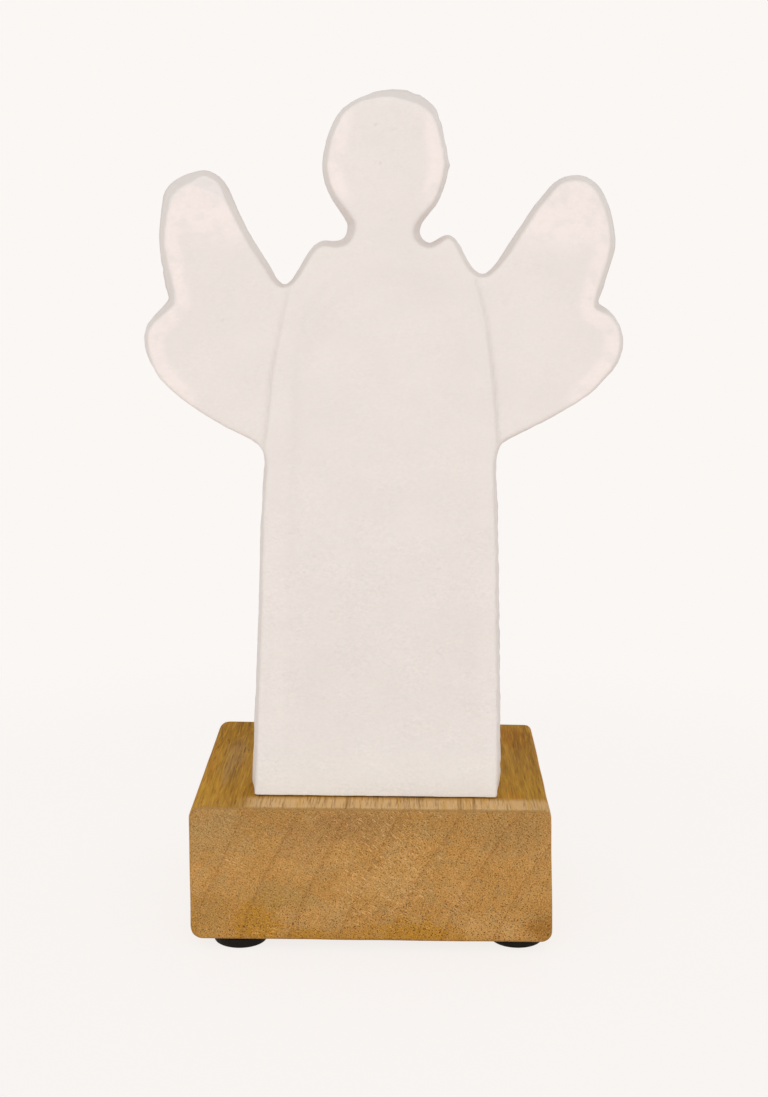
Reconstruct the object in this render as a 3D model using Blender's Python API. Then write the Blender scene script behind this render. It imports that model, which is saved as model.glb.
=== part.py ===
"""Winged tealight holder: a white cast figure screwed to a wooden block with a tealight seat behind it.

Metres, +Z up. The figure faces -Y. The origin lies on the surface that the pads stand on,
midway between the wing tips and midway along the block's depth.
"""

import math

import bmesh
import bpy
from mathutils import Vector
from mathutils.geometry import delaunay_2d_cdt

# Wooden block
BLOCK_WIDTH = 0.1000
BLOCK_DEPTH = 0.0800
BLOCK_HEIGHT = 0.0390
BLOCK_OFFSET_X = -0.0027
BLOCK_CORNER_RADIUS = 0.0033
BLOCK_CRISP_CORNER_RADIUS = 0.0022
BLOCK_FOOT_FLARE = 0.0014
BLOCK_END_CHAMFER = 0.0005
CORNER_STEPS = 5

# Tealight seat, a round recess in the top of the block
SEAT_DIAMETER = 0.0405
SEAT_DEPTH = 0.0120
SEAT_BEHIND_FIGURE = 0.0103
SEAT_RIM_CHAMFER = 0.0006
SEAT_SEGMENTS = 40

# Figure: heights are stacked from its foot to its crown
DRESS_HEIGHT = 0.0972
WING_ROOT_HEIGHT = 0.0441
SHOULDER_RISE = 0.0159
HEAD_HEIGHT = 0.0357
WING_RISE = 0.0741
WING_SPAN = 0.1307
FOOT_WIDTH = 0.0713
FOOT_OFFSET_X = -0.0013
ARMPIT_WIDTH = 0.0642
ARMPIT_OFFSET_X = -0.0007
NECK_WIDTH = 0.0196
HEAD_WIDTH = 0.0340
HEAD_OFFSET_X = 0.0002
HEAD_WIDEST_SHARE = 0.45
FIGURE_THICKNESS = 0.0120
FIGURE_SETBACK = 0.0092
WALL_DRAFT = 0.0020
FRONT_EDGE_RADIUS = 0.0009
FRONT_EDGE_STEPS = 3
BACK_EDGE_CHAMFER = 0.0004
FOOT_BLEND = 0.0040
OUTLINE_STEP = 0.0020
LONGEST_FACET = 0.0070

# Low relief on the figure's face: the dress stands proud of the wings, and an arched field is sunk in it
DRESS_STEP = 0.0007
DRESS_STEP_RUN = 0.0009
ARCH_OFFSET_X = 0.0006
ARCH_MARGIN = 0.0068
ARCH_DEPTH = 0.0006
ARCH_RUN = 0.0040
ARCH_SPRING_HEIGHT = 0.1100
ARCH_RISE = 0.0370
ARCH_FADE_LOW = 0.0560
ARCH_FADE_HIGH = 0.0800
ARCH_LINE_SHARES = (0.0, 0.35, 0.65, 1.0)
RELIEF_STEP = 0.0045
RELIEF_CLEARANCE = 0.0002

# Screws that hold the figure, from below
SCREW_DIAMETER = 0.0040
SCREW_LENGTH = 0.0350
SCREW_TIP_CHAMFER = 0.0006
SCREW_HEAD_DIAMETER = 0.0078
SCREW_HEAD_HEIGHT = 0.0030
SCREW_HEAD_ANGLES = (20, 50, 80, 90)
SCREW_SOCKET_WIDTH = 0.0025
SCREW_SOCKET_DEPTH = 0.0017
SOCKET_SIDES = 6
SCREW_SPACING = 0.0360
SCREW_CLEARANCE = 0.0003
SCREW_TIP_CLEARANCE = 0.0010
COUNTERBORE_CLEARANCE = 0.0007
SCREW_GRIP = 0.0230
SCREW_SEGMENTS = 32
HOLE_SEGMENTS = 16

# Stick-on pads: the inset of each pad's centre from the block's side and from its end
PAD_DIAMETER = 0.0150
PAD_THICKNESS = 0.0027
PAD_EDGE_CHAMFER = 0.0005
PAD_SEGMENTS = 48
LEFT, RIGHT, FRONT, REAR = -1, 1, -1, 1
PAD_PLACES = {
    "foot_pad_front_left": (LEFT, FRONT, 0.0134, 0.0083),
    "foot_pad_front_right": (RIGHT, FRONT, 0.0082, 0.0106),
    "foot_pad_rear_left": (LEFT, REAR, 0.0112, 0.0098),
    "foot_pad_rear_right": (RIGHT, REAR, 0.0104, 0.0088),
}

# Gap left where two pieces rest on each other, and how far a cutter runs past what it cuts
CONTACT_GAP = 0.0003
CUT_MARGIN = 0.0010

# Steeper creases than this stay sharp, and closer points than this are one
CREASE_DEGREES = 32
SAME_POINT = 0.0000001

# Heights and depths that follow from the sizes above
BLOCK_BOTTOM = PAD_THICKNESS + CONTACT_GAP
BLOCK_TOP = BLOCK_BOTTOM + BLOCK_HEIGHT
FIGURE_FRONT = -BLOCK_DEPTH / 2 + FIGURE_SETBACK
FIGURE_BACK = FIGURE_FRONT + FIGURE_THICKNESS
FIGURE_FOOT = BLOCK_TOP + CONTACT_GAP
SEAT_MIDDLE = FIGURE_BACK + SEAT_BEHIND_FIGURE + SEAT_DIAMETER / 2
SCREW_SEAT = BLOCK_TOP - SCREW_GRIP
SCREW_IN_FIGURE = SCREW_SEAT + SCREW_LENGTH - FIGURE_FOOT

# The figure's outline at its back, in rows of across, up and draft. Across and up are shares of the sizes
# that the section's function names: each wing runs from the armpit over its top, and its inner side from
# there down to the crotch. Draft is how far the side wall slopes in towards the front at that place, in
# multiples of WALL_DRAFT.
DRESS_SIDE_LEFT_SHARES = [
    (1.000, 0.000, 0.95),
    (0.720, 0.281, 0.95),
    (0.414, 0.580, 0.90),
    (0.257, 0.785, 0.87),
    (0.086, 0.900, 0.85),
    (0.020, 0.975, 0.85),
]
DRESS_SIDE_RIGHT_SHARES = [
    (0.700, 0.000, 0.75),
    (0.930, 0.010, 0.75),
    (0.985, 0.035, 0.75),
    (0.932, 0.137, 0.73),
    (0.786, 0.319, 0.71),
    (0.563, 0.528, 0.70),
    (0.407, 0.704, 0.69),
    (0.136, 0.878, 0.68),
    (0.030, 0.970, 0.70),
]
WING_LEFT_SHARES = [
    (0.052, 0.004, 0.95),
    (0.300, 0.066, 0.80),
    (0.525, 0.125, 0.78),
    (0.710, 0.183, 0.80),
    (0.861, 0.243, 0.92),
    (0.948, 0.301, 1.15),
    (1.000, 0.373, 1.35),
    (0.969, 0.447, 1.05),
    (0.856, 0.505, 1.08),
    (0.822, 0.523, 1.30),
    (0.790, 0.542, 1.70),
    (0.815, 0.578, 1.90),
    (0.846, 0.654, 1.80),
    (0.862, 0.740, 1.45),
    (0.841, 0.851, 1.62),
    (0.802, 0.930, 1.90),
    (0.714, 0.969, 1.80),
    (0.593, 0.994, 1.60),
    (0.470, 1.005, 1.50),
]
WING_INNER_LEFT_SHARES = [
    (0.346, 0.951, 1.25),
    (0.270, 0.847, 0.80),
    (0.177, 0.615, 0.40),
    (0.060, 0.373, 0.33),
    (-0.065, 0.160, 0.27),
]
WING_RIGHT_SHARES = [
    (0.043, 0.015, 0.90),
    (0.078, 0.025, 1.00),
    (0.282, 0.076, 0.92),
    (0.521, 0.135, 0.88),
    (0.723, 0.195, 0.90),
    (0.857, 0.256, 0.98),
    (0.957, 0.316, 1.10),
    (1.000, 0.390, 1.07),
    (0.961, 0.460, 0.75),
    (0.875, 0.510, 0.55),
    (0.782, 0.538, 1.10),
    (0.820, 0.583, 1.30),
    (0.864, 0.655, 1.25),
    (0.908, 0.734, 1.24),
    (0.894, 0.820, 1.25),
    (0.833, 0.905, 1.25),
    (0.740, 0.968, 1.20),
    (0.613, 0.995, 0.95),
    (0.448, 0.982, 0.70),
]
WING_INNER_RIGHT_SHARES = [
    (0.361, 0.867, 0.55),
    (0.249, 0.709, 0.50),
    (0.069, 0.390, 0.50),
    (-0.062, 0.175, 0.42),
]
RIGHT_NOTCH = 10
SHOULDER_LEFT_SHARES = [
    (0.836, 0.103, 0.15),
    (0.739, 0.000, 0.18),
    (0.650, 0.105, 0.68),
    (0.524, 0.409, 0.84),
    (0.396, 0.662, 0.76),
    (0.279, 0.746, 0.63),
    (0.150, 0.734, 0.73),
    (0.050, 0.789, 1.13),
]
SHOULDER_RIGHT_SHARES = [
    (0.780, 0.208, 0.40),
    (0.647, 0.320, 0.60),
    (0.551, 0.554, 0.65),
    (0.442, 0.785, 0.60),
    (0.336, 0.862, 0.47),
    (0.230, 0.805, 0.55),
    (0.119, 0.718, 0.63),
    (0.031, 0.782, 0.86),
    (-0.005, 0.908, 1.04),
]
HEAD_SHARES = [
    (-1.035, 0.000, 1.32),
    (-1.044, 0.055, 1.13),
    (-1.124, 0.184, 0.89),
    (-1.109, 0.315, 0.92),
    (-1.002, 0.447, 0.95),
    (-0.936, 0.622, 0.97),
    (-0.830, 0.753, 0.99),
    (-0.691, 0.851, 0.95),
    (-0.435, 0.928, 0.91),
    (-0.185, 0.979, 1.31),
    (0.095, 1.000, 1.49),
    (0.376, 0.987, 1.73),
    (0.548, 0.955, 1.57),
    (0.737, 0.886, 1.28),
    (0.853, 0.801, 0.96),
    (0.923, 0.642, 0.58),
    (1.007, 0.446, 0.65),
    (1.110, 0.277, 0.62),
    (1.133, 0.144, 0.61),
    (1.015, 0.033, 0.74),
]

# Where the dress meets each wing on the face, in rows of across and up: shares of the armpit's distance
# from the middle and of the wing's root
DRESS_EDGE_LEFT_SHARES = [
    (0.966, 0.035),
    (0.935, 0.207),
    (0.900, 0.487),
    (0.866, 0.620),
    (0.808, 0.818),
    (0.759, 0.991),
]
DRESS_EDGE_RIGHT_SHARES = [
    (0.987, 0.047),
    (0.969, 0.218),
    (0.938, 0.437),
    (0.904, 0.612),
    (0.869, 0.809),
    (0.778, 1.070),
]


def clear_scene():
    """Remove the start-up objects."""
    for thing in list(bpy.data.objects):
        bpy.data.objects.remove(thing)


def make_material(name, colour, roughness, metallic=0.0):
    """Return a material with one Principled BSDF."""
    material = bpy.data.materials.new(name)
    material.use_nodes = True
    shader = material.node_tree.nodes["Principled BSDF"]
    shader.inputs["Base Color"].default_value = (*colour, 1.0)
    shader.inputs["Roughness"].default_value = roughness
    shader.inputs["Metallic"].default_value = metallic
    return material


def mesh_from(name, bm):
    """Turn a bmesh into a mesh with outward faces, shaded smooth across shallow edges."""
    bmesh.ops.recalc_face_normals(bm, faces=bm.faces)
    mesh = bpy.data.meshes.new(name)
    bm.to_mesh(mesh)
    bm.free()
    mesh.shade_smooth()
    mesh.set_sharp_from_angle(angle=math.radians(CREASE_DEGREES))
    return mesh


def add_object(name, mesh, material, location):
    """Place a piece of the holder."""
    if not mesh.materials:
        mesh.materials.append(material)
    thing = bpy.data.objects.new(name, mesh)
    thing.location = location
    bpy.context.scene.collection.objects.link(thing)
    return thing


def cut(thing, name, bm, location):
    """Cut a bmesh, kept as a hidden object, out of a piece."""
    cutter = bpy.data.objects.new(name, mesh_from(name, bm))
    cutter.location = location
    cutter.hide_render = True
    cutter.display_type = "WIRE"
    bpy.context.scene.collection.objects.link(cutter)
    modifier = thing.modifiers.new(name, "BOOLEAN")
    modifier.operation = "DIFFERENCE"
    modifier.solver = "EXACT"
    modifier.object = cutter


def lofted(rings):
    """Return a bmesh with its closed rings of points joined in turn, and the rings of its vertices."""
    bm = bmesh.new()
    loops = [[bm.verts.new(point) for point in ring] for ring in rings]
    for first, second in zip(loops, loops[1:]):
        for i in range(len(first)):
            j = (i + 1) % len(first)
            bm.faces.new((first[i], first[j], second[j], second[i]))
    return bm, loops


def turned(profile, segments):
    """Return a closed bmesh turned about Z from (radius, height) pairs."""
    rings = []
    for radius, height in profile:
        angles = [2 * math.pi * i / segments for i in range(segments)]
        rings.append([(radius * math.cos(a), radius * math.sin(a), height) for a in angles])
    bm, loops = lofted(rings)
    bm.faces.new(loops[0])
    bm.faces.new(loops[-1])
    return bm


def smooth(share):
    """Ease a share from 0 to 1."""
    share = min(max(share, 0.0), 1.0)
    return share * share * (3 - 2 * share)


def armpit_distance(side):
    """Return how far the armpit on one side lies from the middle of the wing span."""
    return ARMPIT_WIDTH / 2 + side * ARMPIT_OFFSET_X


def dress_side_x(side, across):
    """Return the place across of a dress side, from the armpit (0) to the foot (1)."""
    foot = FOOT_WIDTH / 2 + side * FOOT_OFFSET_X
    return side * (armpit_distance(side) + across * (foot - armpit_distance(side)))


def dress_side(side, rows):
    """Return anchors from foot to armpit: up is a share of the dress."""
    return [(dress_side_x(side, across), up * DRESS_HEIGHT, draft) for across, up, draft in rows]


def wing(side, rows, low):
    """Return anchors along a wing: across runs out to its tip, up from a low point over the armpit to its top."""
    root = armpit_distance(side)
    reach = WING_SPAN / 2 - root
    anchors = []
    for across, up, draft in rows:
        anchors.append((side * (root + across * reach), DRESS_HEIGHT + low + up * (WING_RISE - low), draft))
    return anchors


def shoulder(side, rows):
    """Return anchors from crotch to neck: across runs from neck to armpit, up from crotch to neck."""
    inner = NECK_WIDTH / 2
    width = armpit_distance(side) - inner
    base = DRESS_HEIGHT + WING_ROOT_HEIGHT
    anchors = []
    for across, up, draft in rows:
        anchors.append((side * (inner + across * width), base + up * SHOULDER_RISE, draft))
    return anchors


def head(rows):
    """Return anchors over the head: across is a share of half the width, which grows up from the neck."""
    base = DRESS_HEIGHT + WING_ROOT_HEIGHT + SHOULDER_RISE
    anchors = []
    for across, up, draft in rows:
        grown = min(up / HEAD_WIDEST_SHARE, 1.0)
        half = (NECK_WIDTH + (HEAD_WIDTH - NECK_WIDTH) * grown) / 2
        anchors.append((HEAD_OFFSET_X + across * half, base + up * HEAD_HEIGHT, draft))
    return anchors


def figure_anchors():
    """Return the outline's anchors from left foot over the head to right foot, and its sharp corners."""
    left = dress_side(LEFT, DRESS_SIDE_LEFT_SHARES)
    left += wing(LEFT, WING_LEFT_SHARES, 0.0)
    left += wing(LEFT, WING_INNER_LEFT_SHARES, WING_ROOT_HEIGHT)
    left += shoulder(LEFT, SHOULDER_LEFT_SHARES)
    right = dress_side(RIGHT, DRESS_SIDE_RIGHT_SHARES)
    right += wing(RIGHT, WING_RIGHT_SHARES, 0.0)
    right += wing(RIGHT, WING_INNER_RIGHT_SHARES, WING_ROOT_HEIGHT)
    right += shoulder(RIGHT, SHOULDER_RIGHT_SHARES)
    anchors = left + head(HEAD_SHARES) + right[::-1]
    notch = len(anchors) - 1 - len(DRESS_SIDE_RIGHT_SHARES) - RIGHT_NOTCH
    return anchors, {0, notch, len(anchors) - 1}


def spline_point(points, knots, t):
    """Return the point at t on the centripetal spline through four points."""
    p0, p1, p2, p3 = points
    t0, t1, t2, t3 = knots
    a1 = p0.lerp(p1, (t - t0) / (t1 - t0))
    a2 = p1.lerp(p2, (t - t1) / (t2 - t1))
    a3 = p2.lerp(p3, (t - t2) / (t3 - t2))
    b1 = a1.lerp(a2, (t - t0) / (t2 - t0))
    b2 = a2.lerp(a3, (t - t1) / (t3 - t1))
    return b1.lerp(b2, (t - t1) / (t2 - t1))


def smooth_loop(anchors, corners):
    """Sample a closed spline through anchors, broken at the corners, with shorter steps where it bends."""
    count = len(anchors)
    places = [Vector(anchor) for anchor in anchors]
    samples = []
    for i in range(count):
        j = (i + 1) % count
        start, end = places[i], places[j]
        before = start * 2 - end if i in corners else places[i - 1]
        after = end * 2 - start if j in corners else places[(j + 1) % count]
        points = (before, start, end, after)
        runs = [(b - a).to_2d() for a, b in zip(points, points[1:])]
        knots = [0.0]
        for run in runs:
            knots.append(knots[-1] + math.sqrt(run.length))
        bend = runs[0].angle(runs[1]) + runs[1].angle(runs[2])
        step = min(OUTLINE_STEP / max(bend, OUTLINE_STEP / LONGEST_FACET), LONGEST_FACET)
        pieces = math.ceil(runs[1].length / step)
        for piece in range(pieces):
            t = knots[1] + (knots[2] - knots[1]) * piece / pieces
            samples.append(spline_point(points, knots, t))
    return samples


def outward_normals(samples):
    """Return the outward normal in the figure's plane at each sample, turned level towards the foot."""
    normals = []
    for i, sample in enumerate(samples):
        along = (samples[(i + 1) % len(samples)] - samples[i - 1]).to_2d()
        normal = Vector((-along.y, along.x)).normalized()
        if sample.y < CONTACT_GAP:
            normal = Vector((sample.x / (FOOT_WIDTH / 2), 0.0))
        elif sample.y < FOOT_BLEND:
            normal.y *= smooth(sample.y / FOOT_BLEND)
            normal.normalize()
        normals.append(normal)
    return normals


def dress_edge(side, rows, z):
    """Return the distance from the middle at which the dress meets the wing at a height above the foot."""
    points = [(DRESS_HEIGHT + up * WING_ROOT_HEIGHT, across * armpit_distance(side)) for across, up in rows]
    for (low, first), (high, second) in zip(points, points[1:]):
        if z < high:
            break
    share = min((z - low) / (high - low), 1.0)
    return first + (second - first) * share


def dress_edge_rows(x):
    """Return the side that a point lies on and that side's table of the dress edge."""
    return (LEFT, DRESS_EDGE_LEFT_SHARES) if x < 0 else (RIGHT, DRESS_EDGE_RIGHT_SHARES)


def arch_half_width(z):
    """Return half the width of the sunken field at a height at or below its spring."""
    foot_share = 1 - z / DRESS_HEIGHT
    half = (abs(dress_side_x(LEFT, foot_share)) + abs(dress_side_x(RIGHT, foot_share))) / 2
    return half - ARCH_MARGIN


def arch_inset(x, z):
    """Return how far a point lies inside the sunken field's edge."""
    across = x - ARCH_OFFSET_X
    if z <= ARCH_SPRING_HEIGHT:
        return arch_half_width(z) - abs(across)
    half = arch_half_width(ARCH_SPRING_HEIGHT)
    return half * (1 - math.hypot(across / half, (z - ARCH_SPRING_HEIGHT) / ARCH_RISE))


def face_depth(x, z):
    """Return how far the face lies behind the front of the dress."""
    depth = 0.0
    if z > DRESS_HEIGHT:
        side, rows = dress_edge_rows(x)
        depth = DRESS_STEP * smooth((abs(x) - dress_edge(side, rows, z)) / DRESS_STEP_RUN + 0.5)
    fade = smooth((z - ARCH_FADE_LOW) / (ARCH_FADE_HIGH - ARCH_FADE_LOW))
    return depth + ARCH_DEPTH * fade * smooth(arch_inset(x, z) / ARCH_RUN)


def dress_edge_line(side, rows, offset):
    """Return points up one dress edge, moved across by an offset."""
    top = DRESS_HEIGHT + rows[-1][1] * WING_ROOT_HEIGHT
    count = math.ceil((top - DRESS_HEIGHT) / RELIEF_STEP)
    heights = [DRESS_HEIGHT + (top - DRESS_HEIGHT) * i / count for i in range(count + 1)]
    return [Vector((side * (dress_edge(side, rows, z) + offset), z)) for z in heights]


def arch_line(inset):
    """Return points up, over and down the sunken field, at an inset from its edge."""
    low = ARCH_FADE_LOW - RELIEF_STEP
    count = math.ceil((ARCH_SPRING_HEIGHT - low) / RELIEF_STEP)
    heights = [low + (ARCH_SPRING_HEIGHT - low) * i / count for i in range(count)]
    half = arch_half_width(ARCH_SPRING_HEIGHT)
    scale = 1 - inset / half
    turns = math.ceil(math.pi * half / RELIEF_STEP)
    points = [Vector((ARCH_OFFSET_X - arch_half_width(z) + inset, z)) for z in heights]
    for i in range(turns + 1):
        angle = math.pi * (1 - i / turns)
        rise = math.sin(angle) * ARCH_RISE * scale
        points.append(Vector((ARCH_OFFSET_X + math.cos(angle) * half * scale, ARCH_SPRING_HEIGHT + rise)))
    points += [Vector((ARCH_OFFSET_X + arch_half_width(z) - inset, z)) for z in heights[::-1]]
    return points


def inside(point, ring):
    """Say whether a point lies inside a ring and clear of its edge."""
    crossings = 0
    for i, start in enumerate(ring):
        end = ring[(i + 1) % len(ring)]
        run = end - start
        share = min(max((point - start).dot(run) / run.length_squared, 0.0), 1.0)
        if (start + run * share - point).length < RELIEF_CLEARANCE:
            return False
        if (start.y > point.y) != (end.y > point.y):
            crossings += start.x + run.x * (point.y - start.y) / run.y > point.x
    return crossings % 2 == 1


def fill_face(bm, loop):
    """Close the front of the figure with a face that follows its relief."""
    ring = [Vector((vert.co.x, vert.co.z)) for vert in loop]
    lines = [arch_line(share * ARCH_RUN) for share in ARCH_LINE_SHARES]
    for offset in (-DRESS_STEP_RUN / 2, 0.0, DRESS_STEP_RUN / 2):
        lines.append(dress_edge_line(LEFT, DRESS_EDGE_LEFT_SHARES, offset))
        lines.append(dress_edge_line(RIGHT, DRESS_EDGE_RIGHT_SHARES, offset))
    points = list(ring)
    edges = []
    for line in lines:
        last = None
        for point in line:
            here = len(points) if inside(point, ring) else None
            if here is not None:
                points.append(point)
            if here is not None and last is not None:
                edges.append((last, here))
            last = here
    result = delaunay_2d_cdt(points, edges, [list(range(len(ring)))], 1, SAME_POINT)
    places, faces, sources = result[0], result[2], result[3]
    verts = []
    for place, source in zip(places, sources):
        first = min(source) if source else len(ring)
        if first < len(ring):
            verts.append(loop[first])
        else:
            verts.append(bm.verts.new((place.x, face_depth(place.x, place.y), place.y)))
    for face in faces:
        bm.faces.new([verts[i] for i in face])


def figure_mesh():
    """Model the figure with its foot at the origin and the front of its dress at Y = 0."""
    samples = smooth_loop(*figure_anchors())
    normals = outward_normals(samples)
    levels = [(FIGURE_THICKNESS, BACK_EDGE_CHAMFER), (FIGURE_THICKNESS - BACK_EDGE_CHAMFER, 0.0)]
    for i in range(FRONT_EDGE_STEPS + 1):
        angle = math.pi / 2 * i / FRONT_EDGE_STEPS
        depth = FRONT_EDGE_RADIUS * (1 - math.sin(angle))
        levels.append((depth, FRONT_EDGE_RADIUS * (1 - math.cos(angle))))
    rings = []
    for depth, rounding in levels:
        ring = []
        for sample, normal in zip(samples, normals):
            slope = WALL_DRAFT * sample.z * (1 - depth / FIGURE_THICKNESS)
            place = sample.to_2d() - normal * (slope + rounding)
            relief = face_depth(*place) if depth <= FRONT_EDGE_RADIUS else 0.0
            ring.append((place.x, depth + relief, place.y))
        rings.append(ring)
    bm, loops = lofted(rings)
    bm.faces.new(loops[0])
    fill_face(bm, loops[-1])
    return mesh_from("angel_figure", bm)


def block_section(inset):
    """Return the block's outline across, anticlockwise, with its lower right side flared out.

    Its top right corner is crisper than the other three.
    """
    half = BLOCK_WIDTH / 2 - inset
    low, high = inset, BLOCK_HEIGHT - inset
    soft = BLOCK_CORNER_RADIUS - inset
    crisp = BLOCK_CRISP_CORNER_RADIUS - inset
    corners = [(half - soft, low + soft, soft, -90), (half - crisp, high - crisp, crisp, 0)]
    corners += [(soft - half, high - soft, soft, 90), (soft - half, low + soft, soft, 180)]
    points = []
    for x, z, radius, start in corners:
        for i in range(CORNER_STEPS + 1):
            angle = math.radians(start + 90 * i / CORNER_STEPS)
            across = x + radius * math.cos(angle)
            up = z + radius * math.sin(angle)
            flare = BLOCK_FOOT_FLARE * (0.5 + across / BLOCK_WIDTH) * (1 - up / BLOCK_HEIGHT)
            points.append((across + flare, up))
    return points


def block_mesh():
    """Model the block with its underside at Z = 0 and its middle at the origin."""
    end = BLOCK_DEPTH / 2
    levels = [(-end, BLOCK_END_CHAMFER), (-end + BLOCK_END_CHAMFER, 0.0)]
    levels += [(end - BLOCK_END_CHAMFER, 0.0), (end, BLOCK_END_CHAMFER)]
    rings = [[(x, y, z) for x, z in block_section(inset)] for y, inset in levels]
    bm, loops = lofted(rings)
    bm.faces.new(loops[0])
    bm.faces.new(loops[-1])
    return mesh_from("wooden_block", bm)


def add_block(material):
    """Add the block, with the tealight seat and a stepped hole for each screw."""
    block = add_object("wooden_block", block_mesh(), material, (BLOCK_OFFSET_X, 0.0, BLOCK_BOTTOM))
    radius = SEAT_DIAMETER / 2
    rim = radius + SEAT_RIM_CHAMFER
    seat = [(radius, -SEAT_DEPTH), (radius, -SEAT_RIM_CHAMFER), (rim, 0.0), (rim, CUT_MARGIN)]
    cut(block, "seat_cutter", turned(seat, SEAT_SEGMENTS), (BLOCK_OFFSET_X, SEAT_MIDDLE, BLOCK_TOP))
    wide = SCREW_HEAD_DIAMETER / 2 + COUNTERBORE_CLEARANCE
    narrow = SCREW_DIAMETER / 2 + SCREW_CLEARANCE
    top = BLOCK_HEIGHT + CUT_MARGIN
    step = SCREW_SEAT - BLOCK_BOTTOM
    hole = [(wide, -CUT_MARGIN), (wide, step), (narrow, step), (narrow, top)]
    for name, x, y in screw_places():
        cut(block, name + "_hole_cutter", turned(hole, HOLE_SEGMENTS), (x, y, BLOCK_BOTTOM))


def screw_places():
    """Return each screw's name and its place in plan, midway through the figure's thickness."""
    y = FIGURE_FRONT + FIGURE_THICKNESS / 2
    names = ((LEFT, "fixing_screw_left"), (RIGHT, "fixing_screw_right"))
    return [(name, FOOT_OFFSET_X + side * SCREW_SPACING / 2, y) for side, name in names]


def add_figure(material):
    """Add the figure, with a blind hole in its foot for each screw."""
    figure = add_object("angel_figure", figure_mesh(), material, (0.0, FIGURE_FRONT, FIGURE_FOOT))
    radius = SCREW_DIAMETER / 2 + SCREW_CLEARANCE
    hole = [(radius, -CUT_MARGIN), (radius, SCREW_IN_FIGURE + SCREW_TIP_CLEARANCE)]
    for name, x, y in screw_places():
        cut(figure, name + "_thread_cutter", turned(hole, HOLE_SEGMENTS), (x, y, FIGURE_FOOT))


def screw_mesh():
    """Model a pan-head machine screw, pointing up, with its head's seat at Z = 0."""
    head_radius = SCREW_HEAD_DIAMETER / 2
    radius = SCREW_DIAMETER / 2
    profile = []
    for angle in SCREW_HEAD_ANGLES:
        turn = math.radians(angle)
        across = head_radius * (1 + math.sin(turn)) / 2
        profile.append((across, -SCREW_HEAD_HEIGHT * (1 + 2 * math.cos(turn)) / 3))
    profile += [(head_radius, 0.0), (radius, 0.0), (radius, SCREW_LENGTH - SCREW_TIP_CHAMFER)]
    profile.append((radius - SCREW_TIP_CHAMFER, SCREW_LENGTH))
    return mesh_from("fixing_screw", turned(profile, SCREW_SEGMENTS))


def add_screws(material):
    """Add the screws, each with a hexagon socket in the underside of its head."""
    mesh = screw_mesh()
    corner = SCREW_SOCKET_WIDTH / math.sqrt(3)
    socket = [(corner, -SCREW_HEAD_HEIGHT - CUT_MARGIN), (corner, -SCREW_HEAD_HEIGHT + SCREW_SOCKET_DEPTH)]
    for name, x, y in screw_places():
        place = (x, y, SCREW_SEAT - CONTACT_GAP)
        screw = add_object(name, mesh, material, place)
        cut(screw, name + "_socket_cutter", turned(socket, SOCKET_SIDES), place)


def add_pads(material):
    """Add the four round pads under the block's corners."""
    radius = PAD_DIAMETER / 2
    rim = radius - PAD_EDGE_CHAMFER
    profile = [(rim, 0.0), (radius, PAD_EDGE_CHAMFER), (radius, PAD_THICKNESS)]
    mesh = mesh_from("foot_pad", turned(profile, PAD_SEGMENTS))
    for name, (side, end, side_inset, end_inset) in PAD_PLACES.items():
        x = BLOCK_OFFSET_X + side * (BLOCK_WIDTH / 2 - side_inset)
        y = end * (BLOCK_DEPTH / 2 - end_inset)
        add_object(name, mesh, material, (x, y, 0.0))


clear_scene()
add_block(make_material("mango_wood", (0.50, 0.30, 0.12), 0.62))
add_figure(make_material("white_coat", (0.84, 0.80, 0.77), 0.85))
add_screws(make_material("zinc_plated_steel", (0.60, 0.60, 0.58), 0.38, 1.0))
add_pads(make_material("black_pad", (0.020, 0.018, 0.016), 0.55))
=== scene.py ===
"""Looks of the winged tealight holder: a white cast figure on a wooden block, with pads and screws."""

import math

import bmesh
import bpy
import numpy as np
from mathutils import Matrix, Vector, noise
from mathutils.bvhtree import BVHTree
from mathutils.kdtree import KDTree


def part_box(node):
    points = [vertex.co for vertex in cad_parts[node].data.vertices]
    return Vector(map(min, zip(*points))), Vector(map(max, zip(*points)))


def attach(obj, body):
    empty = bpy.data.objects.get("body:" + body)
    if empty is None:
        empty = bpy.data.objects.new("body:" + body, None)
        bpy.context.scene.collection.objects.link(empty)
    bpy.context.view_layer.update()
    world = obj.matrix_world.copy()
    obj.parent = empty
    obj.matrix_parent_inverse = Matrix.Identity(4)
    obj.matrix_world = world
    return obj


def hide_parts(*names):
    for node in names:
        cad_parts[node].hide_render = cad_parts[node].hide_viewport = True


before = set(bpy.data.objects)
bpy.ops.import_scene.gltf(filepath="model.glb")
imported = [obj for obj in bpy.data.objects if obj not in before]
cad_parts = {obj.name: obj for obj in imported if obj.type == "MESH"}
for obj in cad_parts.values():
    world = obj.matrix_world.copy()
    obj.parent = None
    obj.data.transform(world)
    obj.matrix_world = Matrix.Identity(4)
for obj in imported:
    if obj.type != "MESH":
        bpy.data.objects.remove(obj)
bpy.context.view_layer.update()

MM = 0.001

# Fine meshes: the remesh's voxel, the distance within which points weld, and how they are softened
VOXEL = 0.65 * MM
WELD_DISTANCE = 0.001 * MM
SOFTEN_ROUNDS = 2
SOFTEN_SHARE = 0.4

# Camera, fitted to the photograph's frame of 768 by 1097 pixels
PHOTO_HEIGHT = 1097
FOCAL_PIXELS = 1725.6
SENSOR = 36.0
CAMERA_PLACE = (0.00667, -0.49088, 0.20649)
CAMERA_PITCH = 11.460
CAMERA_YAW = -0.747
CAMERA_ROLL = -0.384

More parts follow.
